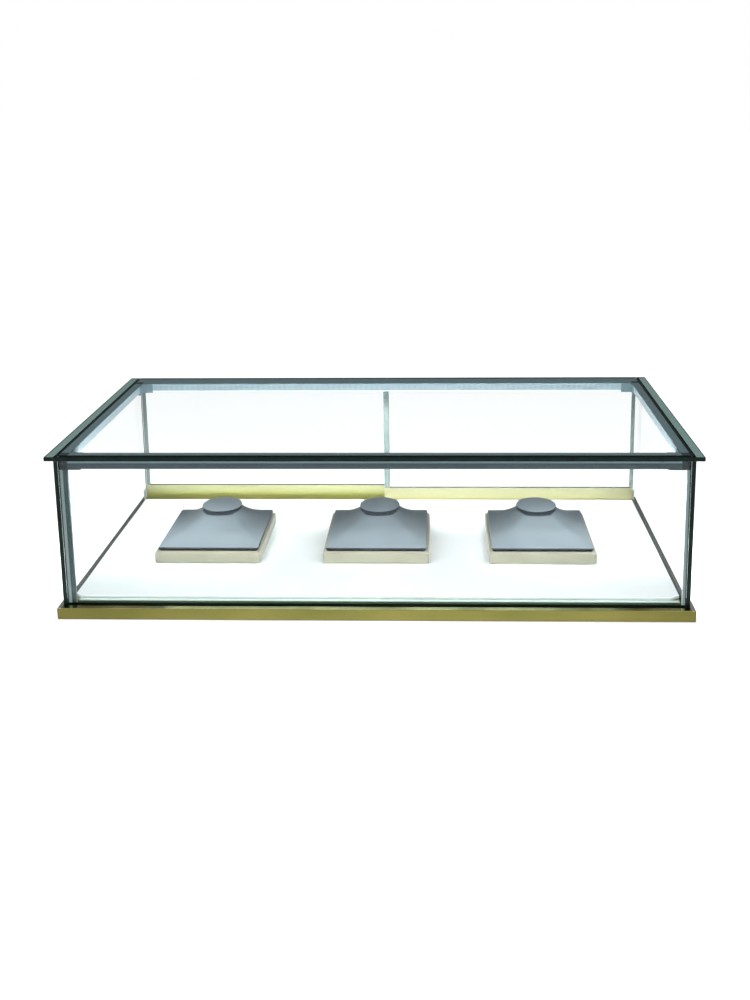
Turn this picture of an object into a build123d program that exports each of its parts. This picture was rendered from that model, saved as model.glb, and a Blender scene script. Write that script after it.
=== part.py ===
from build123d import *
import os

# Table-top glass jewellery showcase, in millimetres.
# Origin: centre of the footprint, on the surface that the showcase stands on.
# +X is the customer's right, -Y is the customer's side, +Y is the staff side, +Z is up.

# Driving dimensions of the cabinet
TOP_WIDTH = 1200.0
TOP_DEPTH = 572.0
TOTAL_HEIGHT = 317.0
PANE = 8.0
PANE_CHAMFER = 0.8
SIDE_OVERHANG = 14.0
FRONT_OVERHANG = 9.0
BASE_WIDTH = 1188.0
BASE_DEPTH = 584.0
BASE_TOP = 23.5
BEDDING = 1.0
BOND_GAP = 0.3

# Base
FOOT_RADIUS = 13.0
FOOT_HEIGHT = 4.0
SKIRT_BOTTOM = 1.5
SKIRT_WALL = 2.0
FLANGE_THICKNESS = 1.5
FLANGE_WIDTH = 55.0
DECK_TOP = 30.0
DECK_HALF_WIDTH = 573.0
DECK_FRONT = -249.0
DECK_REAR = 255.0
DECK_LEFT_CLIP = (12.0, 12.0)
DECK_RIGHT_CLIP = (20.0, 12.0)
SEAL_TOP = 28.5
FRONT_GASKET = ((-561.5, 570.5), (-268.2, -249.6), 25.0)

# Lighting frame under the top glass
BAR_WIDTH = 16.0
BAR_HEIGHT = 19.0
HOUSING_WALL = 2.0
LED_SEAT = 6.0
DIFFUSER_WALL = 1.2
CORNER_LEG = 24.0
CORNER_WALL = 1.8
REAR_BAR_BACK = 255.7
BEAD_WIDTH = 6.2
CONDUIT_WIDTH = 9.0
CONDUIT_DEPTH = 6.0
CONDUIT_WALL = 1.2
CABLE_RADIUS = 1.3

# Sliding doors: the right door runs on the inner track, the left door on the outer track
DOOR_GLASS = 5.0
DOOR_OVERLAP = 12.0
DOOR_OUTER_END = 574.5
INNER_TRACK_Y = 262.0
OUTER_TRACK_Y = 279.0
RAIL_THICKNESS = 8.5
RAIL_WALL = 1.25
RAIL_BOTTOM = 26.5
RAIL_TOP = 58.0
RAIL_WEB = (41.0, 43.0)
GLASS_BOTTOM = 44.0
GLASS_TOP = 301.0
CHANNEL_BOTTOM = 290.0
CHANNEL_SLOT = 7.0
LINER = 0.6
TRACK_PLATE = 1.5
TRACK_RIB_TOP = 29.5
TRACK_GUARD_TOP = 50.0
ROLLER_RADIUS = 7.0
ROLLER_WIDTH = 3.6
ROLLER_LIFT = 0.3
AXLE_RADIUS = 1.5
ROLLER_INSET = 60.0
PROFILE_THICKNESS = 8.0
PULL_WIDTH = 12.0
TRIM_WIDTH = 8.0

# Necklace stands, loose on the deck
STAND_CENTRES = {"left": -349.0, "centre": -6.0, "right": 331.0}
STAND_Y = 7.0
STAND_LIFT = 0.3
STAND_BASE = (216.0, 220.0, 22.0)
FORM_SIZE = (204.0, 208.0)
FORM_Y = 10.0
FORM_RIM = 5.2
NECK_Y = 62.0
NECK_RADIUS = 43.0
NECK_TOP = 90.5
NECK_SPREAD = 98.0
NECK_FLARE_MIDDLE = (22.0, 9.5)
CAP_THICKNESS = 4.5

# Worked-out places
GLASS_UNDERSIDE = TOTAL_HEIGHT - PANE
TOP_HALF = TOP_WIDTH / 2
TOP_FRONT = -TOP_DEPTH / 2
TOP_REAR = TOP_DEPTH / 2
SIDE_OUT = TOP_HALF - SIDE_OVERHANG
SIDE_IN = SIDE_OUT - PANE
FRONT_OUT = TOP_FRONT + FRONT_OVERHANG
FRONT_IN = FRONT_OUT + PANE
PANE_BOTTOM = BASE_TOP + BEDDING
PANE_TOP = GLASS_UNDERSIDE - 0.2
BAR_TOP = GLASS_UNDERSIDE - 0.2
BAR_BOTTOM = BAR_TOP - BAR_HEIGHT
BAR_SIDE_OUT = SIDE_IN - BOND_GAP
BAR_SIDE_IN = BAR_SIDE_OUT - BAR_WIDTH
BAR_FRONT_OUT = FRONT_IN + BOND_GAP
BAR_FRONT_IN = BAR_FRONT_OUT + BAR_WIDTH
BAR_REAR_IN = REAR_BAR_BACK - BAR_WIDTH
BOARD_TOP = BASE_TOP - FLANGE_THICKNESS
CONDUIT_X = -(BAR_SIDE_OUT - BEAD_WIDTH - CONDUIT_WIDTH / 2)
CONDUIT_Y = FRONT_IN + CONDUIT_DEPTH / 2
TRACK_FLOOR = BASE_TOP + TRACK_PLATE
AXLE_Z = TRACK_FLOOR + ROLLER_LIFT + ROLLER_RADIUS
DRIVER_X = -460.0
DRIVER_Y = 212.0
DRIVER_SIZE = (118.0, 40.0, 13.0)
CABLE_Z = 10.0
TRACK_SCREW_XS = (-500.0, -300.0, -100.0, 100.0, 300.0, 500.0)


def block(x, y, z):
    """A box from three (low, high) pairs."""
    box = Box(x[1] - x[0], y[1] - y[0], z[1] - z[0])
    return Pos((x[0] + x[1]) / 2, (y[0] + y[1]) / 2, (z[0] + z[1]) / 2) * box


def about(centre, width):
    """The (low, high) pair of a width centred on a place."""
    return (centre - width / 2, centre + width / 2)


def rod(x, y, z, radius, axis="Z"):
    """A cylinder; the coordinate along its axis is a (low, high) pair."""
    if axis == "Z":
        return Pos(x, y, (z[0] + z[1]) / 2) * Cylinder(radius, z[1] - z[0])
    return Pos(x, (y[0] + y[1]) / 2, z) * Rot(90, 0, 0) * Cylinder(radius, y[1] - y[0])


def outline(points):
    """A face in the XY plane from its corner points."""
    return make_face(Polyline(*points, close=True))


def write(name, shape):
    shape.label = name
    export_step(shape, os.path.join("parts", name + ".step"))


# ---------------------------------------------------------------- base

def base_tray():
    """Gold-finished skirt with a polished ledge folded inwards round the top."""
    half_x = BASE_WIDTH / 2
    half_y = BASE_DEPTH / 2
    tray = block((-half_x, half_x), (-half_y, half_y), (SKIRT_BOTTOM, BASE_TOP))
    tray = chamfer(tray.edges().filter_by(Axis.Z), 0.6)
    tray = chamfer(tray.faces().sort_by(Axis.Z)[-1].edges(), 0.6)
    inner_x = half_x - SKIRT_WALL
    inner_y = half_y - SKIRT_WALL
    tray -= block((-inner_x, inner_x), (-inner_y, inner_y), (SKIRT_BOTTOM - 1, BOARD_TOP))
    hole_x = half_x - FLANGE_WIDTH
    hole_y = half_y - FLANGE_WIDTH
    tray -= block((-hole_x, hole_x), (-hole_y, hole_y), (BOARD_TOP - 1, BASE_TOP + 1))
    tray -= rod(CONDUIT_X, CONDUIT_Y, (BOARD_TOP - 1, BASE_TOP + 1), CABLE_RADIUS + 0.6)
    for x in TRACK_SCREW_XS:
        tray -= rod(x, INNER_TRACK_Y, (BOARD_TOP - 1, BASE_TOP + 1), 1.6)
    tray -= rod(DRIVER_X, (half_y - 4, half_y + 1), 12.0, 6.1, "Y")
    return tray


def base_board():
    """Core board that fills the tray, with the driver's pocket and the cable's groove below."""
    half_x = BASE_WIDTH / 2 - SKIRT_WALL - 0.5
    half_y = BASE_DEPTH / 2 - SKIRT_WALL - 0.5
    board = block((-half_x, half_x), (-half_y, half_y), (FOOT_HEIGHT, BOARD_TOP))
    pocket = (DRIVER_SIZE[0] + 6, DRIVER_SIZE[1] + 6, DRIVER_SIZE[2] + 2)
    low = FOOT_HEIGHT - 1
    board -= block(about(DRIVER_X, pocket[0]), about(DRIVER_Y, pocket[1]),
                   (low, FOOT_HEIGHT + pocket[2]))
    groove = (low, CABLE_Z + CABLE_RADIUS + 0.7)
    board -= block((CONDUIT_X - 2, DRIVER_X), about(DRIVER_Y, 4.0), groove)
    board -= block(about(CONDUIT_X, 4.0), (CONDUIT_Y - 2, DRIVER_Y + 2), groove)
    board -= block((CONDUIT_X, CONDUIT_X + 12), (DRIVER_Y - 12, DRIVER_Y), groove)
    board -= block((CONDUIT_X - 2, CONDUIT_X + 2), (CONDUIT_Y - 2, CONDUIT_Y + 14),
                   (low, BOARD_TOP + 1))
    board -= block(about(DRIVER_X, 13.0), (DRIVER_Y, half_y + 1), (low, 18.5))
    for x in TRACK_SCREW_XS:
        board -= rod(x, INNER_TRACK_Y, (BOARD_TOP - 12, BOARD_TOP + 1), 1.55)
    for x, y in cover_screw_places():
        board -= rod(x, y, (low, FOOT_HEIGHT + 9), 1.55)
    return board


def feet():
    """Round rubber pads under the board."""
    pads = []
    for x in (-550.0, -185.0, 185.0, 550.0):
        for y in (-255.0, 255.0):
            pad = rod(x, y, (0, FOOT_HEIGHT), FOOT_RADIUS)
            pads.append(chamfer(pad.faces().sort_by(Axis.Z)[0].edges(), 0.6))
    return Compound(children=pads)


def deck_panel():
    """White display deck with bevelled edges and clipped front corners."""
    clip_x, clip_y = DECK_LEFT_CLIP
    clip_x2, clip_y2 = DECK_RIGHT_CLIP
    face = outline([
        (-DECK_HALF_WIDTH, DECK_REAR),
        (-DECK_HALF_WIDTH, DECK_FRONT + clip_y),
        (-DECK_HALF_WIDTH + clip_x, DECK_FRONT),
        (DECK_HALF_WIDTH - clip_x2, DECK_FRONT),
        (DECK_HALF_WIDTH, DECK_FRONT + clip_y2),
        (DECK_HALF_WIDTH, DECK_REAR),
    ])
    deck = Pos(0, 0, BASE_TOP) * extrude(face, DECK_TOP - BASE_TOP)
    return chamfer(deck.faces().sort_by(Axis.Z)[-1].edges(), 0.8)


def deck_side_seals():
    """Strips that close the gaps between the deck and the side panes, and a flat gasket at the front."""
    strips = []
    for side in (-1, 1):
        x = sorted((side * (DECK_HALF_WIDTH + 0.3), side * (SIDE_IN - BOND_GAP)))
        y = (DECK_FRONT + DECK_RIGHT_CLIP[1], DECK_REAR)
        strips.append(block(x, y, (BASE_TOP, SEAL_TOP)))
    gasket_x, gasket_y, gasket_top = FRONT_GASKET
    strips.append(block(gasket_x, gasket_y, (BASE_TOP, gasket_top)))
    return Compound(children=strips)


def led_driver():
    """Power supply for the lights, in its pocket under the board."""
    low = FOOT_HEIGHT + 0.5
    case = block(about(DRIVER_X, DRIVER_SIZE[0]), about(DRIVER_Y, DRIVER_SIZE[1]),
                 (low, low + DRIVER_SIZE[2]))
    return fillet(case.edges().filter_by(Axis.Z), 3.0)


def driver_cover():
    """Plate that closes the driver's pocket from below."""
    size = (DRIVER_SIZE[0] + 32, DRIVER_SIZE[1] + 18)
    plate = block(about(DRIVER_X, size[0]), about(DRIVER_Y, size[1]), (2.5, FOOT_HEIGHT))
    plate = fillet(plate.edges().filter_by(Axis.Z), 4.0)
    for x, y in cover_screw_places():
        plate -= rod(x, y, (1.0, FOOT_HEIGHT + 1), 1.7)
    return plate


def cover_screw_places():
    places = []
    for side_x in (-1, 1):
        for side_y in (-1, 1):
            places.append((DRIVER_X + side_x * (DRIVER_SIZE[0] / 2 + 10),
                           DRIVER_Y + side_y * (DRIVER_SIZE[1] / 2 - 4)))
    return places


def screw(x, y, head, shank_top, radius=1.5, head_radius=2.7):
    """Screw driven upwards: a button head with a cross slot, below a plain shank."""
    body = rod(x, y, (head[1], shank_top), radius)
    top = rod(x, y, head, head_radius)
    top = fillet(top.faces().sort_by(Axis.Z)[0].edges(), 0.5)
    for angle in (0, 90):
        top -= Pos(x, y, head[0]) * Rot(0, 0, angle) * Box(3.0, 0.6, 1.0)
    return body + top


def driver_cover_screws():
    """Four screws that hold the driver's cover."""
    return Compound(children=[screw(x, y, (1.0, 2.5), 12.0) for x, y in cover_screw_places()])


def dc_inlet():
    """Barrel socket for low-voltage power, flush with the back of the skirt."""
    back = BASE_DEPTH / 2
    body = rod(DRIVER_X, (back - 16, back - 0.2), 12.0, 5.9, "Y")
    body -= rod(DRIVER_X, (back - 9, back + 1), 12.0, 2.75, "Y")
    return body + rod(DRIVER_X, (back - 9.5, back - 1.5), 12.0, 1.0, "Y")


def light_feed_cable():
    """Two-core cable from the driver, along the board's groove and up the front left corner."""
    start = (DRIVER_X - DRIVER_SIZE[0] / 2, DRIVER_Y, CABLE_Z)
    path = FilletPolyline(
        start,
        (CONDUIT_X, DRIVER_Y, CABLE_Z),
        (CONDUIT_X, CONDUIT_Y, CABLE_Z),
        (CONDUIT_X, CONDUIT_Y, BAR_BOTTOM + 8),
        radius=9.0,
    )
    section = Plane(origin=start, z_dir=(-1, 0, 0)) * Circle(CABLE_RADIUS)
    return sweep(section, path=path)


# ---------------------------------------------------------------- glass

def pane(x, y, z):
    """Flat glass with its edges ground to a small chamfer."""
    plate = block(x, y, z)
    return chamfer(plate.edges(), PANE_CHAMFER)


def top_glass():
    return pane((-TOP_HALF, TOP_HALF), (TOP_FRONT, TOP_REAR), (GLASS_UNDERSIDE, TOTAL_HEIGHT))


def front_glass():
    edge = SIDE_IN - BOND_GAP
    return pane((-edge, edge), (FRONT_OUT, FRONT_IN), (PANE_BOTTOM, PANE_TOP))


def side_glass(side):
    x = sorted((side * SIDE_IN, side * SIDE_OUT))
    return pane(x, (FRONT_OUT, TOP_REAR), (PANE_BOTTOM, PANE_TOP))


def pane_bedding():
    """Dark strips on which the three fixed panes stand."""
    z = (BASE_TOP, PANE_BOTTOM)
    strips = [block((-SIDE_IN, SIDE_IN), (FRONT_OUT, FRONT_IN), z)]
    for side in (-1, 1):
        strips.append(block(sorted((side * SIDE_IN, side * SIDE_OUT)), (FRONT_OUT, TOP_REAR), z))
    return Compound(children=strips)


def corner_beads():
    """Clear square beads that bond the front pane to the side panes."""
    beads = []
    for side in (-1, 1):
        x = sorted((side * BAR_SIDE_OUT, side * (BAR_SIDE_OUT - BEAD_WIDTH + 0.1)))
        y = (BAR_FRONT_OUT, BAR_FRONT_OUT + BEAD_WIDTH)
        bead = block(x, y, (BASE_TOP, BAR_BOTTOM - CORNER_WALL))
        inner = bead.edges().filter_by(Axis.Z).sort_by(Axis.Y)[-2:]
        inner = inner.sort_by(Axis.X)
        beads.append(chamfer(inner[0] if side > 0 else inner[-1], 2.5))
    return Compound(children=beads)


def wire_conduit():
    """Slim tube that carries the lights' cable up the front left corner."""
    z = (BASE_TOP, BAR_BOTTOM - CORNER_WALL)
    y = (CONDUIT_Y - CONDUIT_DEPTH / 2 + BOND_GAP, CONDUIT_Y + CONDUIT_DEPTH / 2 + BOND_GAP)
    tube = block(about(CONDUIT_X, CONDUIT_WIDTH), y, z)
    tube = fillet(tube.edges().filter_by(Axis.Z), 1.0)
    inner_y = (y[0] + CONDUIT_WALL, y[1] - CONDUIT_WALL)
    return tube - block(about(CONDUIT_X, CONDUIT_WIDTH - 2 * CONDUIT_WALL), inner_y,
                        (z[0] - 1, z[1] + 1))


# ---------------------------------------------------------------- lighting frame

def bar_placement(name):
    """Where a light bar's section goes: its frame, with local Z along the bar, and its length.

    In the section, local X points from the pane into the cabinet and local Y points up.
    """
    clear = 0.2
    low = BAR_BOTTOM
    if name == "front":
        start, inward, along = (clear - BAR_SIDE_IN, BAR_FRONT_OUT, low), (0, 1, 0), (1, 0, 0)
    elif name == "rear":
        start, inward, along = (BAR_SIDE_IN - clear, REAR_BAR_BACK, low), (0, -1, 0), (-1, 0, 0)
    elif name == "left":
        start, inward, along = (-BAR_SIDE_OUT, BAR_REAR_IN - clear, low), (1, 0, 0), (0, -1, 0)
    else:
        start, inward, along = (BAR_SIDE_OUT, BAR_FRONT_IN + clear, low), (-1, 0, 0), (0, 1, 0)
    if name in ("front", "rear"):
        length = 2 * (BAR_SIDE_IN - clear)
    else:
        length = BAR_REAR_IN - BAR_FRONT_IN - 2 * clear
    return Plane(start, inward, along), length


def bar_piece(name, points, trim=0.0):
    """Extrude a section along a light bar; trim shortens it at both ends."""
    plane, length = bar_placement(name)
    bar = extrude(outline(points), length - 2 * trim)
    return plane * Pos(0, 0, trim) * bar


def light_housing(name):
    """Aluminium angle with a sloping seat for the light strip."""
    wall = HOUSING_WALL
    under = BAR_HEIGHT - wall
    return bar_piece(name, [
        (0, 0), (wall + 1.0, 0), (wall + 1.0, 1.0), (wall, 1.0),
        (wall, under - LED_SEAT), (wall + LED_SEAT, under),
        (BAR_WIDTH - 1.0, under), (BAR_WIDTH - 1.0, under - 1.0), (BAR_WIDTH, under - 1.0),
        (BAR_WIDTH, BAR_HEIGHT), (0, BAR_HEIGHT),
    ])


def light_diffuser(name):
    """Clear-white cover that closes the bottom and the inner side of the housing."""
    wall = DIFFUSER_WALL
    top = BAR_HEIGHT - HOUSING_WALL - 1.3
    left = HOUSING_WALL + 1.3
    bend = 3.0
    return bar_piece(name, [
        (left, 0), (BAR_WIDTH - bend, 0), (BAR_WIDTH, bend), (BAR_WIDTH, top),
        (BAR_WIDTH - wall, top), (BAR_WIDTH - wall, bend + wall / 2),
        (BAR_WIDTH - bend - wall / 2, wall), (left, wall),
    ])


def led_strips():
    """Light strips on the housings' sloping seats."""
    strips = []
    middle_x = HOUSING_WALL + LED_SEAT / 2
    middle_y = BAR_HEIGHT - HOUSING_WALL - LED_SEAT / 2
    along = 2.4
    near = 0.15
    far = 1.1
    for name in ("front", "rear", "left", "right"):
        strips.append(bar_piece(name, [
            (middle_x - along + near, middle_y - along - near),
            (middle_x + along + near, middle_y + along - near),
            (middle_x + along + far, middle_y + along - far),
            (middle_x - along + far, middle_y - along - far),
        ], trim=12.0))
    return Compound(children=strips)


def light_corner(side_x, side_y):
    """Corner joiner: a block between two bars, with legs that wrap under and inside them."""
    outer_x = BAR_SIDE_OUT
    inner_x = BAR_SIDE_IN
    if side_y < 0:
        outer_y, inner_y = BAR_FRONT_OUT, BAR_FRONT_IN
    else:
        outer_y, inner_y = REAR_BAR_BACK, BAR_REAR_IN
    low = BAR_BOTTOM - CORNER_WALL
    gap = 0.2

    def span_x(a, b):
        return sorted((side_x * a, side_x * b))

    def along_y(distance):
        return inner_y - side_y * distance

    corner = block(span_x(inner_x, outer_x), sorted((outer_y, inner_y)), (low, BAR_TOP))
    floor_x = span_x(inner_x - CORNER_LEG, outer_x)
    corner += block(floor_x, sorted((outer_y, inner_y)), (low, BAR_BOTTOM - gap))
    floor_y = sorted((outer_y, along_y(CORNER_LEG)))
    corner += block(span_x(inner_x, outer_x), floor_y, (low, BAR_BOTTOM - gap))
    wall_y = sorted((along_y(gap), along_y(CORNER_WALL)))
    corner += block(span_x(inner_x - CORNER_LEG, inner_x - gap), wall_y, (low, BAR_TOP))
    wall_x = span_x(inner_x - gap, inner_x - CORNER_WALL)
    corner += block(wall_x, sorted((along_y(gap), along_y(CORNER_LEG))), (low, BAR_TOP))
    fill_x = span_x(inner_x - CORNER_WALL, inner_x)
    corner += block(fill_x, sorted((inner_y, along_y(CORNER_WALL))), (low, BAR_BOTTOM - gap))
    if (side_x, side_y) == (-1, -1):
        corner -= rod(CONDUIT_X, CONDUIT_Y, (low - 1, BAR_BOTTOM + 10), CABLE_RADIUS + 0.3)
    return corner


# ---------------------------------------------------------------- door tracks

def door_top_channel():
    """Double guide channel under the top glass, with a hollow spine between its two slots."""
    front = INNER_TRACK_Y - CHANNEL_SLOT / 2 - 2.5
    half = SIDE_IN - 0.5
    channel = block((-half, half), (front, TOP_REAR), (CHANNEL_BOTTOM, BAR_TOP))
    for y in (INNER_TRACK_Y, OUTER_TRACK_Y):
        channel -= block((-TOP_HALF, TOP_HALF), about(y, CHANNEL_SLOT), (0, BAR_TOP - 2.5))
    spine = ((INNER_TRACK_Y + OUTER_TRACK_Y) / 2, 7.0)
    channel -= block((-TOP_HALF, TOP_HALF), about(*spine), (CHANNEL_BOTTOM + 2, BAR_TOP - 2.5))
    return channel


def door_guide_liners():
    """Slippery liners inside the top channel's two slots."""
    liners = []
    half = SIDE_IN - 1.0
    top = BAR_TOP - 2.6
    for y in (INNER_TRACK_Y, OUTER_TRACK_Y):
        liner = block((-half, half), about(y, CHANNEL_SLOT - 0.1), (CHANNEL_BOTTOM, top))
        liner -= block((-TOP_HALF, TOP_HALF), about(y, CHANNEL_SLOT - 0.1 - 2 * LINER),
                       (0, top - LINER))
        liners.append(liner)
    return Compound(children=liners)


def door_bottom_track():
    """Double track: a floor plate with two low ribs and a tall guard behind the outer door."""
    half = SIDE_IN - 0.5
    x = (-half, half)
    front = DECK_REAR + 0.4
    floor = block(x, (front, TOP_REAR), (BASE_TOP, TRACK_FLOOR))
    for place in TRACK_SCREW_XS:
        floor -= rod(place, INNER_TRACK_Y, (0, TRACK_FLOOR + 1), 2.8)
    strips = [floor]
    for rib in (front + 0.6, (INNER_TRACK_Y + OUTER_TRACK_Y) / 2):
        strips.append(block(x, about(rib, 1.2), (TRACK_FLOOR, TRACK_RIB_TOP)))
    strips.append(block(x, (TOP_REAR - 1.2, TOP_REAR), (TRACK_FLOOR, TRACK_GUARD_TOP)))
    return Compound(children=strips)


def track_screws():
    """Flush screws that hold the bottom track to the board."""
    screws = []
    for x in TRACK_SCREW_XS:
        body = rod(x, INNER_TRACK_Y, (BOARD_TOP - 11, BASE_TOP), 1.5)
        head = rod(x, INNER_TRACK_Y, (BASE_TOP, TRACK_FLOOR), 2.7)
        for angle in (0, 90):
            head -= Pos(x, INNER_TRACK_Y, TRACK_FLOOR) * Rot(0, 0, angle) * Box(3.0, 0.6, 1.0)
        screws.append(body + head)
    return Compound(children=screws)


def door_bumpers():
    """Rubber stops at both ends of both tracks."""
    bumpers = []
    for y in (INNER_TRACK_Y, OUTER_TRACK_Y):
        for side in (-1, 1):
            x = sorted((side * (SIDE_IN - 3.0), side * (SIDE_IN - 0.1)))
            bumper = block(x, about(y, 7.0), (TRACK_FLOOR + 3, TRACK_FLOOR + 25))
            bumpers.append(bumper)
    return Compound(children=bumpers)


# ---------------------------------------------------------------- doors

def door_span(side):
    """The door's (low, high) in X: -1 is the left door, 1 the right."""
    return sorted((-side * DOOR_OVERLAP / 2, side * DOOR_OUTER_END))


def door_track(side):
    return INNER_TRACK_Y if side > 0 else OUTER_TRACK_Y


def roller_places(side):
    low, high = door_span(side)
    return (low + ROLLER_INSET, high - ROLLER_INSET)


def door_rail(side):
    """Bottom rail: the upper slot grips the glass, the lower one covers the rollers."""
    y = door_track(side)
    rail = block(door_span(side), about(y, RAIL_THICKNESS), (RAIL_BOTTOM, RAIL_TOP))
    inside = about(y, RAIL_THICKNESS - 2 * RAIL_WALL)
    rail -= block((-TOP_HALF, TOP_HALF), inside, (0, RAIL_WEB[0]))
    rail -= block((-TOP_HALF, TOP_HALF), inside, (RAIL_WEB[1], RAIL_TOP + 1))
    for x in roller_places(side):
        rail -= rod(x, (y - 10, y + 10), AXLE_Z, AXLE_RADIUS + 0.02, "Y")
    return rail


def door_glass(side):
    """Sliding pane."""
    low, high = door_span(side)
    plate = block((low + 1.5, high - 1.5), about(door_track(side), DOOR_GLASS),
                  (GLASS_BOTTOM, GLASS_TOP))
    return chamfer(plate.edges(), 0.5)


def door_gasket(side):
    """Rubber channel between the glass and its rail."""
    y = door_track(side)
    low, high = door_span(side)
    x = (low + 2, high - 2)
    width = RAIL_THICKNESS - 2 * RAIL_WALL
    gasket = block(x, about(y, width - 0.02), (RAIL_WEB[1], RAIL_TOP + 0.6))
    return gasket - block((-TOP_HALF, TOP_HALF), about(y, DOOR_GLASS + 0.02),
                          (GLASS_BOTTOM, RAIL_TOP + 2))


def door_edge_profiles(side):
    """Channels on the door's two upright edges; the wider one at the middle is its pull."""
    y = door_track(side)
    low, high = door_span(side)
    z = (RAIL_TOP + 1, CHANNEL_BOTTOM - 1)
    low_width, high_width = (PULL_WIDTH, TRIM_WIDTH) if side > 0 else (TRIM_WIDTH, PULL_WIDTH)
    profiles = []
    for x, slot in (((low, low + low_width), (low + 1.45, low + low_width + 1)),
                    ((high - high_width, high), (high - high_width - 1, high - 1.45))):
        profile = block(x, about(y, PROFILE_THICKNESS), z)
        profile = fillet(profile.edges().filter_by(Axis.Z), 0.8)
        profiles.append(profile - block(slot, about(y, DOOR_GLASS + 0.02), (0, TOTAL_HEIGHT)))
    return Compound(children=profiles)


def door_axles(side):
    """The two pins on which the door's rollers turn."""
    y = door_track(side)
    half = RAIL_THICKNESS / 2
    pins = [rod(x, (y - half, y + half), AXLE_Z, AXLE_RADIUS, "Y") for x in roller_places(side)]
    return Compound(children=pins)


def door_roller(side, place):
    """Nylon wheel with a shallow groove in its tread."""
    y = door_track(side)
    half = ROLLER_WIDTH / 2
    wheel = rod(place, (y - half, y + half), AXLE_Z, ROLLER_RADIUS, "Y")
    wheel = chamfer(wheel.edges().filter_by(GeomType.CIRCLE), 0.4)
    return wheel - rod(place, (y - half - 1, y + half + 1), AXLE_Z, AXLE_RADIUS + 0.05, "Y")


# ---------------------------------------------------------------- necklace stands

def stand_base(x):
    """Cream-covered block under the form."""
    low = DECK_TOP + STAND_LIFT
    body = block(about(x, STAND_BASE[0]), about(STAND_Y, STAND_BASE[1]), (low, low + STAND_BASE[2]))
    body = fillet(body.edges().filter_by(Axis.Z), 4.0)
    return fillet(body.faces().sort_by(Axis.Z)[-1].edges(), 1.0)


def stand_form(x):
    """Padded square form whose top sweeps up to the neck."""
    low = DECK_TOP + STAND_LIFT + STAND_BASE[2]
    rim = low + FORM_RIM
    footprint = block(about(x, FORM_SIZE[0]), about(FORM_Y, FORM_SIZE[1]), (low, NECK_TOP))
    footprint = fillet(footprint.edges().filter_by(Axis.Z), 3.0)
    slab = footprint & block(about(x, 400), about(FORM_Y, 400), (low, rim))
    flare_out, flare_up = NECK_FLARE_MIDDLE
    sweep_up = ThreePointArc((NECK_RADIUS, NECK_TOP), (NECK_RADIUS + flare_out, rim + flare_up),
                             (NECK_SPREAD, rim))
    profile = make_face([
        Line((0, rim), (0, NECK_TOP)),
        Line((0, NECK_TOP), (NECK_RADIUS, NECK_TOP)),
        sweep_up,
        Line((NECK_SPREAD, rim), (0, rim)),
    ])
    hump = revolve(Plane.XZ * profile, Axis.Z, 360)
    return slab + (Pos(x, NECK_Y, 0) * hump & footprint)


def stand_cap(x):
    """Round padded cap that closes the neck."""
    cap = rod(x, NECK_Y, (NECK_TOP, NECK_TOP + CAP_THICKNESS), NECK_RADIUS)
    return fillet(cap.faces().sort_by(Axis.Z)[-1].edges(), 3.0)


# ---------------------------------------------------------------- all pieces

write("base_tray", base_tray())
write("base_board", base_board())
write("feet", feet())
write("deck_panel", deck_panel())
write("deck_side_seals", deck_side_seals())
write("led_driver", led_driver())
write("driver_cover", driver_cover())
write("driver_cover_screws", driver_cover_screws())
write("dc_inlet", dc_inlet())
write("light_feed_cable", light_feed_cable())
write("top_glass", top_glass())
write("front_glass", front_glass())
write("left_glass", side_glass(-1))
write("right_glass", side_glass(1))
write("pane_bedding", pane_bedding())
write("corner_beads", corner_beads())
write("wire_conduit", wire_conduit())
for bar in ("front", "rear", "left", "right"):
    write(bar + "_light_housing", light_housing(bar))
    write(bar + "_light_diffuser", light_diffuser(bar))
write("led_strips", led_strips())
for corner_y, end in ((-1, "front"), (1, "rear")):
    for corner_x, hand in ((-1, "left"), (1, "right")):
        write(end + "_" + hand + "_light_corner", light_corner(corner_x, corner_y))
write("door_top_channel", door_top_channel())
write("door_guide_liners", door_guide_liners())
write("door_bottom_track", door_bottom_track())
write("track_screws", track_screws())
write("door_bumpers", door_bumpers())
for door_side, hand in ((-1, "left"), (1, "right")):
    write(hand + "_door_glass", door_glass(door_side))
    write(hand + "_door_rail", door_rail(door_side))
    write(hand + "_door_gasket", door_gasket(door_side))
    write(hand + "_door_edge_profiles", door_edge_profiles(door_side))
    write(hand + "_door_axles", door_axles(door_side))
    for end, roller_x in zip(("a", "b"), roller_places(door_side)):
        write(hand + "_door_roller_" + end, door_roller(door_side, roller_x))
for stand, centre_x in STAND_CENTRES.items():
    write(stand + "_stand_base", stand_base(centre_x))
    write(stand + "_stand_form", stand_form(centre_x))
    write(stand + "_stand_cap", stand_cap(centre_x))
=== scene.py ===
import math

import bpy
from mathutils import Matrix, Vector, noise


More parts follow.
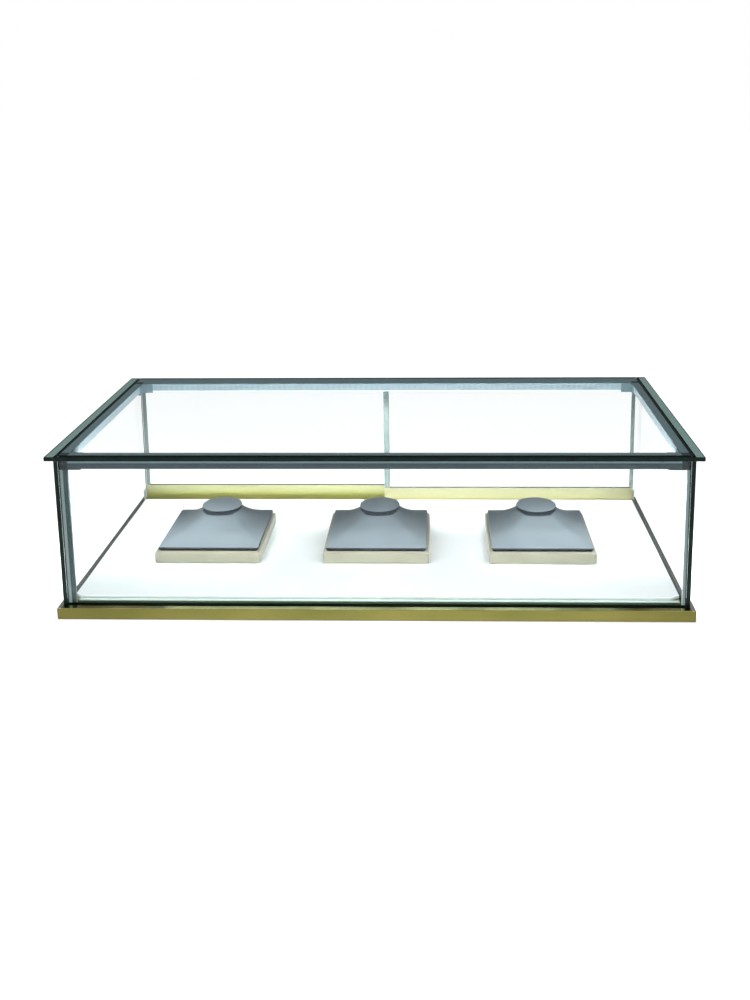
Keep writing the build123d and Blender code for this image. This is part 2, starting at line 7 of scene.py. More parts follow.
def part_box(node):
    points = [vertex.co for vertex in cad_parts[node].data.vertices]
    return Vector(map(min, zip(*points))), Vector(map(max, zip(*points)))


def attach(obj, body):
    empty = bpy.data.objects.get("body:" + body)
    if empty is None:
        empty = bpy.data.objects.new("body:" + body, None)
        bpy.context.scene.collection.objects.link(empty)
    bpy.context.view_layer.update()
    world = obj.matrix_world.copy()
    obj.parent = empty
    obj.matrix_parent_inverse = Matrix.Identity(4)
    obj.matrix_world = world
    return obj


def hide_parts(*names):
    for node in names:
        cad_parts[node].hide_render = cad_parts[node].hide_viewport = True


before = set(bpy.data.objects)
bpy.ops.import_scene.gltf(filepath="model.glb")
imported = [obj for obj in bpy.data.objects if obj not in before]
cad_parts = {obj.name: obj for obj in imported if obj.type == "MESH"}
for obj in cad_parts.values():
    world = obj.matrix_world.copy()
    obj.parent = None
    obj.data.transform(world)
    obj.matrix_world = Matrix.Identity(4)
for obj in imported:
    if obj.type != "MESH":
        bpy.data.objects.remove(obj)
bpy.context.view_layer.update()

# Looks of a table-top glass showcase: materials for the CAD nodes, padded necklace stands, light and camera.
# Everything is in metres, in the CAD frame.
MM = 0.001


def srgb(red, green, blue):
    """A linear colour from display values of 0 to 255."""
    def linear(value):
        value /= 255
        return value / 12.92 if value <= 0.04045 else ((value + 0.055) / 1.055) ** 2.4
    return (linear(red), linear(green), linear(blue), 1.0)


def shaded(colour, share):
    """The same colour with its light brought down to a share of itself."""
    return tuple(share * part for part in colour[:3]) + (1.0,)


class Tree:
    """One material's node tree, built by short calls. Inputs take a value or another node's socket."""

    def __init__(self, name):
        self.material = bpy.data.materials.new(name)
        self.material.use_nodes = True
        self.nodes = self.material.node_tree.nodes
        self.links = self.material.node_tree.links
        self.nodes.clear()
        self.place = self.add("TexCoord").outputs["Object"]
        self.normal = self.add("NewGeometry").outputs["True Normal"]

    def add(self, kind, inputs=None, **settings):
        node = self.nodes.new("ShaderNode" + kind)
        for name, value in settings.items():
            setattr(node, name, value)
        for key, value in (inputs or {}).items():
            if isinstance(value, bpy.types.NodeSocket):
                self.links.new(value, node.inputs[key])
            else:
                node.inputs[key].default_value = value
        return node

    def math(self, operation, a, b=0.0):
        return self.add("Math", {0: a, 1: b}, operation=operation).outputs[0]

    def axis(self, vector, index):
        return self.add("SeparateXYZ", {0: vector}).outputs[index]

    def facing(self, index):
        """How squarely the surface faces along an axis, from 0 to 1."""
        return self.math("ABSOLUTE", self.axis(self.normal, index))

    def blend(self, factor, a, b):
        mix = self.add("Mix", {0: factor, 6: a, 7: b}, data_type="RGBA")
        return mix.outputs[2]

    def between(self, value, low, high, to_low=0.0, to_high=1.0):
        """value, moved from the range low-high to another, and kept inside it."""
        inputs = {0: value, 1: low, 2: high, 3: to_low, 4: to_high}
        return self.add("MapRange", inputs).outputs[0]

    def noise(self, scale, detail=2.0, stretch=None):
        vector = self.place
        if stretch:
            vector = self.add("Mapping", {0: vector, 3: stretch}).outputs[0]
        return self.add("TexNoise", {"Vector": vector, "Scale": scale, "Detail": detail}).outputs[0]

    def cells(self, scale):
        """Soft-edged cells, as in an embossed grain."""
        return self.add("TexVoronoi", {"Vector": self.place, "Scale": scale}, feature="SMOOTH_F1").outputs[0]

    def beyond(self, index, limit):
        """1 where the place is further from the middle plane than limit, along an axis."""
        return self.math("GREATER_THAN", self.math("ABSOLUTE", self.axis(self.place, index)), limit)

    def bump(self, height, distance, strength=1.0):
        return self.add("Bump", {"Strength": strength, "Distance": distance, "Height": height}).outputs[0]

    def surface(self, colour, roughness, metallic=0.0, normal=None, **extra):
        inputs = {"Base Color": colour, "Roughness": roughness, "Metallic": metallic}
        if normal:
            inputs["Normal"] = normal
        inputs.update({name.replace("_", " "): value for name, value in extra.items()})
        return self.add("BsdfPrincipled", inputs).outputs[0]

    def mix_shader(self, factor, first, second):
        return self.add("MixShader", {0: factor, 1: first, 2: second}).outputs[0]

    def done(self, shader):
        self.links.new(shader, self.add("OutputMaterial").inputs["Surface"])
        return self.material


# ---------------------------------------------------------------- glass

GLASS_IOR = 1.5
MIRROR_SHARE = 0.22
EDGE_DARK = srgb(2, 17, 13)
EDGE_GREEN = srgb(10, 40, 34)
DARK_ARRIS = srgb(12, 30, 26)
CLEAR_TINT = srgb(251, 252, 252)
BORDER_TINT = srgb(166, 182, 179)
FACE_ON = 0.95      # a pane's two faces look more squarely along its axis than this
ARRIS_ON = 0.4      # its ground arrises look more squarely along it than this, and its edges less


def pane_glass(name, axis, border=None):
    """Float glass: clear through its two faces, dark green at its edges and ground arrises.

    axis is the one across the pane. border is where the top pane starts to look darker.
    """
    t = Tree(name)
    square = t.facing(axis)
    clear = CLEAR_TINT
    if border:
        clear = t.blend(border_share(t, border), CLEAR_TINT, BORDER_TINT)
    bent = t.add("BsdfRefraction", {"Color": clear, "Roughness": 0.0, "IOR": GLASS_IOR}).outputs[0]
    mirror = t.add("BsdfGlossy", {"Color": (1, 1, 1, 1), "Roughness": 0.0}).outputs[0]
    fresnel = t.add("Fresnel", {"IOR": GLASS_IOR}).outputs[0]
    pane = t.mix_shader(t.math("MULTIPLY", fresnel, MIRROR_SHARE), bent, mirror)
    lamps = t.add("BsdfTransparent", {"Color": clear}).outputs[0]
    pane = t.mix_shader(t.add("LightPath").outputs["Is Shadow Ray"], pane, lamps)
    ripple = t.noise(35.0, 3.0)
    green = t.blend(t.between(ripple, 0.35, 0.7), EDGE_DARK, EDGE_GREEN)
    edge = t.surface(green, t.between(ripple, 0.3, 0.7, 0.1, 0.25), Specular_IOR_Level=0.12)
    arris = t.blend(t.noise(400.0), DARK_ARRIS, shaded(DARK_ARRIS, 0.7))
    ground = t.surface(arris, 0.4, Specular_IOR_Level=0.2)
    rim = t.mix_shader(t.math("GREATER_THAN", square, ARRIS_ON), edge, ground)
    return t.done(t.mix_shader(t.math("GREATER_THAN", square, FACE_ON), rim, pane))


def border_share(t, border):
    """1 where the top pane overhangs the panes below it, at the front and the sides."""
    half_x, front = border
    beyond_front = t.math("LESS_THAN", t.axis(t.place, 1), front)
    return t.math("MAXIMUM", t.beyond(0, half_x), beyond_front)


# ---------------------------------------------------------------- metal

LYING = 0.6             # a face counts as lying flat when it looks this squarely up or down
DRAWN = (4.0, 2400.0)   # drawn lines: noise along the extrusion and across it
DRAWN_DEPTH = 0.00003
RAIL_RAMP = (27 * MM, 58 * MM)      # the heights between which a door rail turns from rich to pale: painted reflection


def gold_tray(ledge):
    """Gold-finished steel: satin on the upright faces, polished on the ledge that runs outside the panes,
    with painted shade, highlights and reflections.
    """
    t = Tree("gold_tray")
    streaks = t.noise(1.0, 3.0, (6.0, 6.0, 2600.0))
    cloud = t.noise(3.2, 2.0)
    height = t.axis(t.place, 2)
    satin = t.blend(t.between(cloud, 0.35, 0.65), srgb(84, 83, 42), srgb(102, 98, 52))
    satin = t.blend(t.between(streaks, 0.3, 0.75, 0.0, 0.35), satin, srgb(78, 75, 36))
    # Painted shade: the upright faces darken towards the floor.
    satin = t.blend(t.between(height, 0.0015, 0.0045, 0.55, 0.0), satin, srgb(66, 62, 34))
    # Painted highlights and reflections: pale and dark patches on the polished ledge, and near white where it
    # runs beyond the side panes.
    polished = t.blend(t.between(t.noise(7.0), 0.35, 0.7), srgb(226, 214, 150), srgb(150, 140, 82))
    polished = t.blend(t.beyond(0, ledge), polished, srgb(250, 249, 242))
    flat = t.math("GREATER_THAN", t.facing(2), LYING)
    colour = t.blend(flat, satin, polished)
    rough = t.math("ADD", t.between(streaks, 0.2, 0.8, 0.26, 0.4), t.math("MULTIPLY", flat, -0.22))
    normal = t.bump(streaks, 0.00004, 0.5)
    return t.done(t.surface(colour, rough, 1.0, normal))


def gold_rail(name, low, high):
    """Satin gold, paler towards its top and richer towards its lower edge: painted reflection."""
    t = Tree(name)
    streaks = t.noise(1.0, 3.0, (5.0, 5.0, 1800.0))
    ramp = t.between(t.axis(t.place, 2), *RAIL_RAMP)
    colour = t.blend(ramp, low, high)
    colour = t.blend(t.between(streaks, 0.35, 0.75, 0.0, 0.16), colour, low)
    rough = t.between(streaks, 0.2, 0.8, 0.3, 0.42)
    return t.done(t.surface(colour, rough, 0.45, t.bump(streaks, DRAWN_DEPTH, 0.5)))


def anodised(name, colour, along, upper=None):
    """Anodised aluminium with fine drawn lines along one axis.

    upper is the paler colour of its upper faces and of all that is above a height, painted light from above,
    with that height.
    """
    t = Tree(name)
    lines = t.noise(1.0, 3.0, tuple(DRAWN[0] if axis == along else DRAWN[1] for axis in range(3)))
    base = t.blend(t.between(lines, 0.3, 0.7, 0.0, 0.4), colour, shaded(colour, 0.72))
    # Painted light: the upper faces and the band along the top are paler, as if lit from above.
    if upper:
        painted_light_colour, lip = upper
        above = t.math("GREATER_THAN", t.axis(t.place, 2), lip)
        base = t.blend(t.math("MAXIMUM", t.math("GREATER_THAN", t.facing(2), 0.7), above), base, painted_light_colour)
    rough = t.between(lines, 0.2, 0.8, 0.34, 0.5)
    return t.done(t.surface(base, rough, 0.25, t.bump(lines, DRAWN_DEPTH, 0.4)))


def steel():
    """Worn bright steel of screws and axles."""
    t = Tree("screw_steel")
    worn = t.noise(900.0, 3.0)
    colour = t.blend(worn, srgb(150, 152, 154), srgb(200, 202, 204))
    return t.done(t.surface(colour, t.between(worn, 0.3, 0.7, 0.25, 0.45), 1.0, t.bump(worn, 0.00005)))


def powder_coat():
    """Grey powder coat with a slight orange peel."""
    t = Tree("grey_metal")
    orange_peel = t.noise(1400.0, 2.0)
    colour = t.blend(t.noise(40.0), srgb(92, 95, 98), srgb(104, 107, 110))
    return t.done(t.surface(colour, 0.5, 0.0, t.bump(orange_peel, 0.00008, 0.6)))


# ---------------------------------------------------------------- plastics, rubber, board

FINE_GRAIN = 1600.0
FINE_DEPTH = 0.00006


def moulded(name, first, second, roughness, **extra):
    """Moulded plastic or rubber: two close shades, fine grain."""
    t = Tree(name)
    fine = t.noise(FINE_GRAIN)
    colour = t.blend(t.between(t.noise(30.0, 3.0), 0.35, 0.65), first, second)
    rough = t.between(fine, 0.3, 0.7, roughness - 0.06, roughness + 0.06)
    return t.done(t.surface(colour, rough, 0.0, t.bump(fine, FINE_DEPTH, 0.6), **extra))


def corner_plastic():
    """Dark blue-grey corner joints with pale opal inner faces."""
    t = Tree("corner_plastic")

    def inwards(index):
        """How squarely the surface looks towards the middle plane of an axis."""
        side = t.math("SIGN", t.axis(t.place, index))
        return t.math("MULTIPLY", t.math("MULTIPLY", side, t.axis(t.normal, index)), -1.0)

    inward = t.math("GREATER_THAN", t.math("MAXIMUM", inwards(0), inwards(1)), 0.6)
    dark = t.blend(t.noise(30.0, 3.0), srgb(60, 84, 88), srgb(70, 95, 99))
    fine = t.noise(FINE_GRAIN)
    colour = t.blend(inward, dark, srgb(150, 176, 186))
    rough = t.between(fine, 0.3, 0.7, 0.36, 0.46)
    return t.done(t.surface(colour, rough, 0.0, t.bump(fine, FINE_DEPTH, 0.6)))


def fibreboard():
    """Raw flecked board of the core panel."""
    t = Tree("board")
    flecks = t.noise(700.0, 4.0)
    colour = t.blend(t.between(flecks, 0.35, 0.7), srgb(150, 120, 84), srgb(188, 158, 118))
    return t.done(t.surface(colour, 0.85, 0.0, t.bump(flecks, 0.0002)))


def deck_white(top):
    """White acrylic: glossy on top. Its upright edges grey towards the foot, which is painted shade, and
    glow, which is painted light.
    """
    t = Tree("deck_white")
    mottled = t.noise(14.0, 3.0)
    white = t.blend(t.between(mottled, 0.3, 0.7), srgb(243, 254, 254), srgb(250, 255, 255))
    height = t.between(t.axis(t.place, 2), top - 6 * MM, top)
    # Painted shade: the upright edges darken towards the foot.
    side = t.blend(height, srgb(158, 172, 165), srgb(240, 248, 245))
    colour = t.blend(t.math("LESS_THAN", t.facing(2), 0.3), white, side)
    rough = t.between(t.noise(220.0, 3.0), 0.3, 0.7, 0.16, 0.24)
    # Painted light: the upright edges glow, though the acrylic is no lamp.
    edge = t.math("LESS_THAN", t.facing(2), 0.8)
    return t.done(t.surface(colour, rough, 0.0, t.bump(t.noise(90.0), 0.00002, 0.4),
                            Emission_Color=side, Emission_Strength=t.math("MULTIPLY", edge, 0.5)))


def deck_seals(deck_half, lip):
    """Rubber strips round the deck: grey at the sides; black along the front, which is painted shadow of the
    gap there, with a pale lip at the deck, which is painted light.

    deck_half is half the deck's width. lip is the y where the pale lip starts to darken forwards.
    """
    t = Tree("deck_seals")
    worn = t.noise(60.0, 3.0)
    grey = t.blend(worn, srgb(46, 53, 51), srgb(66, 74, 71))
    # Painted shadow: the front strip is black, darker than the same rubber at the sides; the pale lip next to
    # the deck is painted light.
    black = t.blend(worn, srgb(22, 32, 20), srgb(36, 46, 31))
    black = t.blend(t.between(t.axis(t.place, 1), lip - LIT_LIP_BLEND, lip), black, srgb(168, 184, 178))
    fine = t.noise(1500.0)
    colour = t.blend(t.beyond(0, deck_half), black, grey)
    return t.done(t.surface(colour, t.between(fine, 0.3, 0.7, 0.5, 0.62), 0.0,
                            t.bump(fine, 0.00006, 0.6), Specular_IOR_Level=0.2))


def clear_bead(low, high):
    """Clear bonding bead: pale teal. It darkens where it meets the light frame and towards its foot, which is
    painted shade, and glows a little, which is painted light.
    """
    t = Tree("clear_bead")
    height = t.between(t.axis(t.place, 2), low, high)
    # Painted shade: darker near the light frame at the top and near the foot.
    colour = t.blend(t.between(height, 0.45, 1.0), srgb(226, 246, 248), srgb(146, 184, 176))
    colour = t.blend(t.between(height, 0.0, 0.35, 0.35, 0.0), colour, srgb(170, 198, 188))
    ripple = t.noise(1.0, 2.0, (900.0, 900.0, 12.0))
    # Painted light: the bead glows, though it is no lamp.
    return t.done(t.surface(colour, t.between(ripple, 0.3, 0.7, 0.08, 0.2), 0.0, t.bump(ripple, 0.0002),
                            Emission_Color=srgb(190, 226, 224), Emission_Strength=0.25))


def clear_profile():
    """Smoky clear extrusion on the doors' upright edges."""
    t = Tree("clear_profile")
    drawn = t.noise(1.0, 3.0, (900.0, 900.0, 5.0))
    colour = t.blend(t.between(drawn, 0.3, 0.7), srgb(126, 144, 140), srgb(150, 168, 165))
    return t.done(t.surface(colour, t.between(drawn, 0.3, 0.7, 0.18, 0.3), 0.0, t.bump(drawn, 0.0001, 0.5)))


# ---------------------------------------------------------------- lights

LED_PITCH = 12.5 * MM
END_BARS = 560 * MM     # beyond this distance from the middle a bar runs from front to back


def spots(t):
    """Rises to 1 at each light chip along the bar, whichever way the bar runs."""
    along_y = t.beyond(0, END_BARS)
    along_x = t.math("SUBTRACT", 1.0, along_y)
    x = t.math("MULTIPLY", t.axis(t.place, 0), along_x)
    y = t.math("MULTIPLY", t.axis(t.place, 1), along_y)
    run = t.math("ADD", y, x)
    wave = t.math("COSINE", t.math("MULTIPLY", run, 2 * math.pi / LED_PITCH))
    return t.between(wave, -1.0, 1.0)


def diffuser():
    """Opal cover, glowing from the strip behind it, most of all on its lower face."""
    t = Tree("diffuser")
    chips = spots(t)
    colour = t.blend(chips, srgb(178, 200, 210), srgb(184, 206, 215))
    down = t.math("GREATER_THAN", t.facing(2), 0.5)
    glow = t.math("ADD", t.between(chips, 0.0, 1.0, 0.18, 0.2), t.math("MULTIPLY", down, 0.9))
    return t.done(t.surface(colour, 0.35, 0.0, t.bump(t.noise(300.0), 0.00003),
                            Emission_Color=srgb(214, 236, 246), Emission_Strength=glow))


def led_strip():
    """White circuit strip with glowing chips and copper pads between them."""
    t = Tree("led_strip")
    chips = spots(t)
    chip = t.math("GREATER_THAN", chips, 0.82)
    pad = t.math("LESS_THAN", chips, 0.12)
    colour = t.blend(chip, srgb(232, 232, 226), srgb(246, 226, 120))
    colour = t.blend(pad, colour, srgb(196, 140, 84))
    return t.done(t.surface(colour, 0.4, 0.0, t.bump(chips, 0.0003),
                            Emission_Color=srgb(250, 250, 240),
                            Emission_Strength=t.math("MULTIPLY", chip, 6.0)))


# ---------------------------------------------------------------- leatherette

def embossed(t, scale, light, dark, depth):
    """Cloudy colour, creases and height of a leatherette's grain, whose hollows darken by depth."""
    pebbles = t.cells(scale)
    creases = t.noise(420.0, 4.0)
    grain = t.math("ADD", t.math("MULTIPLY", pebbles, 0.7), t.math("MULTIPLY", creases, 0.5))
    colour = t.blend(t.between(t.noise(18.0, 3.0), 0.35, 0.65), light, dark)
    colour = t.blend(t.between(pebbles, 0.1, 0.7, 0.0, depth), colour, shaded(dark, 0.6))
    return colour, creases, grain


def leatherette(name, light, dark, roughness):
    """Thin satin leatherette: fine pebble grain, faint cloudiness."""
    t = Tree(name)
    colour, creases, grain = embossed(t, 1050.0, light, dark, 0.14)
    rough = t.between(creases, 0.3, 0.7, roughness - 0.05, roughness + 0.07)
    normal = t.bump(grain, 0.00012, 0.55)
    return t.done(t.surface(colour, rough, 0.0, normal, Sheen_Weight=0.25, Sheen_Roughness=0.4,
                            Sheen_Tint=srgb(225, 235, 245)))


BACK_SHADE = 0.85             # how far the leatherette goes to its darker colour at the back: painted shade
BACK_SHADE_START = 0.22       # where that starts and ends, as shares of the form's depth from front and back
BACK_SHADE_END = 0.06


def satin_leather(name, light, dark, back_shade_colour=None):
    """Satin leatherette with a pearly coat: fine pebble grain under a soft gloss.

    The last colour is painted shade: the darker colour that the leatherette takes towards the back of the
    stands.
    """
    t = Tree(name)
    colour, creases, grain = embossed(t, 1300.0, light, dark, 0.12)
    if back_shade_colour:
        low, high = (corner.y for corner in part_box("centre_stand_form"))
        deep = high - low
        back = t.between(t.axis(t.place, 1), low + BACK_SHADE_START * deep, high - BACK_SHADE_END * deep)
        # Painted shade: the colour darkens towards the back of the forms.
        colour = t.blend(t.math("MULTIPLY", back, BACK_SHADE), colour, back_shade_colour)
    rough = t.between(creases, 0.3, 0.7, 0.36, 0.44)
    return t.done(t.surface(colour, rough, 0.45, t.bump(grain, 0.0001, 0.4)))


def shadow_felt():
    """Near-black felt in the recess under the slab: painted shadow."""
    t = Tree("shadow_black_felt")
    fuzz = t.noise(2600.0, 3.0)
    colour = t.blend(fuzz, srgb(6, 9, 11), srgb(24, 28, 31))
    return t.done(t.surface(colour, 0.95, 0.0, t.bump(fuzz, 0.0003), Specular_IOR_Level=0.1))


# ---------------------------------------------------------------- materials on the CAD nodes

HOUSING_LIT_BAND = 8 * MM        # depth of the paler band along the top of the light bars, painted light from above
BORDER_IN = 3 * MM          # the top pane's darker border starts this far inside the panes' outer faces
LIT_LIP_WIDTH = 7 * MM          # width of the front gasket's pale lip, painted light
LIT_LIP_BLEND = 4 * MM          # width over which it turns black, into the painted shadow


def node_materials():
    """The material of each CAD node that stays in view."""
    deck_low, deck_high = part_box("deck_panel")
    side_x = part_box("right_glass")[1].x
    front_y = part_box("front_glass")[0].y
    bead_low, bead_high = (corner.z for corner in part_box("corner_beads"))
    housing = srgb(100, 128, 138)
    # The bars' paler top is painted light.
    upper = (srgb(186, 220, 229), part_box("front_light_housing")[1].z - HOUSING_LIT_BAND)
    bars_x = anodised("anodised_x", housing, 0, upper)
    bars_y = anodised("anodised_y", housing, 1, upper)
    rubber = moulded("rubber", srgb(24, 25, 25), srgb(36, 37, 37), 0.7)
    seal = moulded("dark_seal", srgb(18, 26, 20), srgb(34, 43, 34), 0.6, Specular_IOR_Level=0.2)
    black = moulded("black_plastic", srgb(30, 31, 33), srgb(42, 43, 45), 0.45)
    corner = corner_plastic()
    nylon = moulded("nylon", srgb(226, 226, 216), srgb(236, 236, 228), 0.35)
    metal = steel()
    light_cover = diffuser()
    profile = clear_profile()
    found = {
        "top_glass": pane_glass("glass_top", 2, border=(side_x - BORDER_IN, front_y + BORDER_IN)),
        "front_glass": pane_glass("glass_front", 1),
        "left_glass": pane_glass("glass_left", 0),
        "right_glass": pane_glass("glass_right", 0),
        "base_tray": gold_tray(side_x),
        "base_board": fibreboard(),
        "feet": rubber,
        "deck_panel": deck_white(deck_high.z),
        "deck_side_seals": deck_seals(deck_high.x, deck_low.y - LIT_LIP_WIDTH),
        "led_driver": black,
        "driver_cover": powder_coat(),
        "driver_cover_screws": metal,
        "dc_inlet": black,
        "light_feed_cable": moulded("cable_white", srgb(214, 214, 208), srgb(226, 226, 220), 0.4),
        "pane_bedding": seal,
        "corner_beads": clear_bead(bead_low, bead_high),
        "wire_conduit": anodised("anodised_z", srgb(92, 118, 120), 2),
        "led_strips": led_strip(),
        "door_top_channel": bars_x,
        "door_guide_liners": black,
        "door_bottom_track": anodised("track_metal", srgb(140, 140, 84), 0),
        "track_screws": metal,
        "door_bumpers": moulded("clear_silicone", srgb(176, 186, 184), srgb(192, 201, 199), 0.4),
    }
    for name, bar in (("front", bars_x), ("rear", bars_x), ("left", bars_y), ("right", bars_y)):
        found[name + "_light_housing"] = bar
        found[name + "_light_diffuser"] = light_cover
    for end in ("front", "rear"):
        for hand in ("left", "right"):
            found[end + "_" + hand + "_light_corner"] = corner
    # Two tones of one gold finish, one for each rail, as each catches light differently: painted light.
    rails = {
        "left": gold_rail("gold_rail_left", srgb(158, 160, 62), srgb(190, 190, 152)),
        "right": gold_rail("gold_rail_right", srgb(172, 168, 116), srgb(180, 178, 146)),
    }
    door_pane = pane_glass("glass_door", 1)
    for hand in ("left", "right"):
        found[hand + "_door_glass"] = door_pane
        found[hand + "_door_rail"] = rails[hand]
        found[hand + "_door_gasket"] = seal
        found[hand + "_door_edge_profiles"] = profile
        found[hand + "_door_axles"] = metal
        found[hand + "_door_roller_a"] = nylon
        found[hand + "_door_roller_b"] = nylon
    return found


def dress(node, material):
    """Gives a CAD node its material."""
    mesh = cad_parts[node].data
    mesh.materials.clear()
    mesh.materials.append(material)


# ---------------------------------------------------------------- necklace stands

TURNS = 192                     # points round each ring
NECK_RINGS = 26                 # rings from the slab's rim up to the neck
EDGE_STEPS = 4                  # steps round a rolled edge
QUARTER = math.pi / 2

LEATHER, SHADOW_FELT, SHADE_BAND = range(3)    # the form's material slots; the near-black felt is painted shadow under the slab, and the last, a darker leatherette, is painted shade on the slab's side and under the cap

FORM_CORNER = 3.0 * MM          # corners of the slab
SOFT_CORNER = 30 * MM           # corners of the outline that the drape falls towards
BEND_PULL = math.radians(14)    # how far each corner draws the points round it together
CORNERS = ((1, 1), (-1, 1), (-1, -1), (1, -1))
NECK_WAIST = 5.5 * MM           # how far the neck stands in under the cap
NECK_BAND = 0.93                # share of the drape beyond which the darker leatherette, painted shade under the cap, runs round the neck
NECK_TOP = 0.9                  # the neck's closed top, as a share of the neck
EDGE_ROLL = 1.0 * MM
RECESS = 2.6 * MM
RECESS_HEIGHT = 3.7 * MM
SLAB = 8.2 * MM
DROOP = 1.25                    # over 1, the drape hollows on its way down
RIDGE = 1.6 * MM
RIDGE_TURNS = (math.radians(-128), math.radians(-52))
RIDGE_WIDTH = math.radians(15)
PUCKER = 0.15 * MM

# The neck cap's half outline from its underside over its edge to its crown: shares of radius and height.
CAP_OUTLINE = [(0.55, 0.0), (0.86, 0.0), (0.91, 0.10), (0.96, 0.26), (0.985, 0.36), (1.0, 0.50),
               (0.995, 0.62), (0.975, 0.70), (0.955, 0.715), (0.935, 0.73), (0.90, 0.78), (0.84, 0.84),
               (0.75, 0.90), (0.62, 0.95), (0.45, 0.982), (0.25, 0.996), (0.06, 1.0)]

BLOCK_CORNER = 4.5 * MM         # the cream block: corners, rolled edges and how far its sides crown
BLOCK_ROLL = 1.8 * MM
BLOCK_FOOT = 0.6                # the roll at its foot is flatter than the one at its top
CROWN = 0.3 * MM
TOP_IN = 0.25 * MM


def ring_piece(name, rings, materials, kinds=None):
    """A closed piece through rings of points, with a flat cap on the first and the last ring.

    kinds gives each band between rings its place in materials.
    """
    count = len(rings[0])
    points = [point for ring in rings for point in ring]
    faces = []
    slots = []
    for band in range(len(rings) - 1):
        for i in range(count):
            j = (i + 1) % count
            low, high = band * count, (band + 1) * count
            faces.append((low + i, low + j, high + j, high + i))
            slots.append(kinds[band] if kinds else 0)
    faces.append(tuple(reversed(range(count))))
    slots.append(kinds[0] if kinds else 0)
    last = (len(rings) - 1) * count
    faces.append(tuple(range(last, last + count)))
    slots.append(kinds[-1] if kinds else 0)
    mesh = bpy.data.meshes.new(name)
    mesh.from_pydata(points, [], faces)
    for material in materials:
        mesh.materials.append(material)
    mesh.polygons.foreach_set("material_index", slots)
    mesh.polygons.foreach_set("use_smooth", [True] * len(faces))
    mesh.update()
    piece = bpy.data.objects.new(name, mesh)
    bpy.context.scene.collection.objects.link(piece)
    return piece


def rounded_square(centre, half_x, half_y, corner, inset=0.0):
    """Points round a rounded rectangle, evenly spread over the arcs of its four corners."""
    points = []
    each = TURNS // len(CORNERS)
    radius = max(corner - inset, 0.4 * MM)
    reach_x = half_x - inset - radius
    reach_y = half_y - inset - radius
    for i in range(TURNS):
        side, step = divmod(i, each)
        angle = QUARTER * side + QUARTER * (step / each)
        x = centre[0] + reach_x * CORNERS[side][0] + radius * math.cos(angle)
        y = centre[1] + reach_y * CORNERS[side][1] + radius * math.sin(angle)
        points.append((x, y))
    return points


def along_edge(place, half_x, half_y, corner, inset=0.0):
    """Points at the turns about one centre, on a rounded rectangle round another.

    place is the middle of the rectangle and the centre of the turns.
    """
    middle, about = place
    points = []
    for angle in edge_turns(middle, about, half_x, half_y):
        way = Vector((math.cos(angle), math.sin(angle)))
        far = reach(middle, about, half_x - inset, half_y - inset, corner, way)
        points.append(Vector(about) + way * far)
    return points


def edge_turns(middle, about, half_x, half_y):
    """Even turns about a centre, drawn together at the four corners so that these stay crisp."""
    bends = []
    for side_x, side_y in CORNERS:
        across = middle[0] + side_x * half_x - about[0]
        along = middle[1] + side_y * half_y - about[1]
        bends.append(math.atan2(along, across))
    turns = []
    for i in range(TURNS):
        angle = 2 * math.pi * i / TURNS - math.pi
        for bend in bends:
            off = (angle - bend + math.pi) % (2 * math.pi) - math.pi
            if abs(off) < BEND_PULL:
                angle = bend + off * (abs(off) / BEND_PULL) ** 1.5
                break
        turns.append(angle)
    return turns


def reach(middle, about, half_x, half_y, corner, way):
    """How far it is from about, along way, to the rounded rectangle round middle, found by halving."""
    low, high = 0.0, 4 * max(half_x, half_y)
    for _ in range(40):
        at = (low + high) / 2
        dx = abs(about[0] + way.x * at - middle[0]) - (half_x - corner)
        dy = abs(about[1] + way.y * at - middle[1]) - (half_y - corner)
        outside = math.hypot(max(dx, 0), max(dy, 0)) + min(max(dx, dy), 0) - corner
        if outside > 0:
            high = at
        else:
            low = at
    return low


def ridges(turn):
    """Two soft ridges where the leatherette is pulled towards the front corners."""
    return sum(math.exp(-((turn - at) / RIDGE_WIDTH) ** 2) for at in RIDGE_TURNS)


def slab_rings(place, half_x, half_y, foot, rim):
    """Rings and slots of the slab: the recess under it, its face and its rolled upper edge."""
    recess = along_edge(place, half_x, half_y, FORM_CORNER, RECESS)
    outside = along_edge(place, half_x, half_y, FORM_CORNER)
    rings = [[(p.x, p.y, foot) for p in recess],
             [(p.x, p.y, foot + RECESS_HEIGHT) for p in recess],
             [(p.x, p.y, foot + RECESS_HEIGHT) for p in outside]]
    # The recess's near-black felt is painted shadow under the slab.
    kinds = [SHADOW_FELT, SHADOW_FELT]
    for step in range(EDGE_STEPS + 1):
        angle = QUARTER * step / EDGE_STEPS
        ring = along_edge(place, half_x, half_y, FORM_CORNER, EDGE_ROLL * (1 - math.cos(angle)))
        height = rim - EDGE_ROLL + EDGE_ROLL * math.sin(angle)
        rings.append([(p.x, p.y, height) for p in ring])
        # The slab's side and the lower part of its roll take the darker leatherette: painted shade.
        kinds.append(SHADE_BAND if step < 3 else LEATHER)
    return rings, kinds


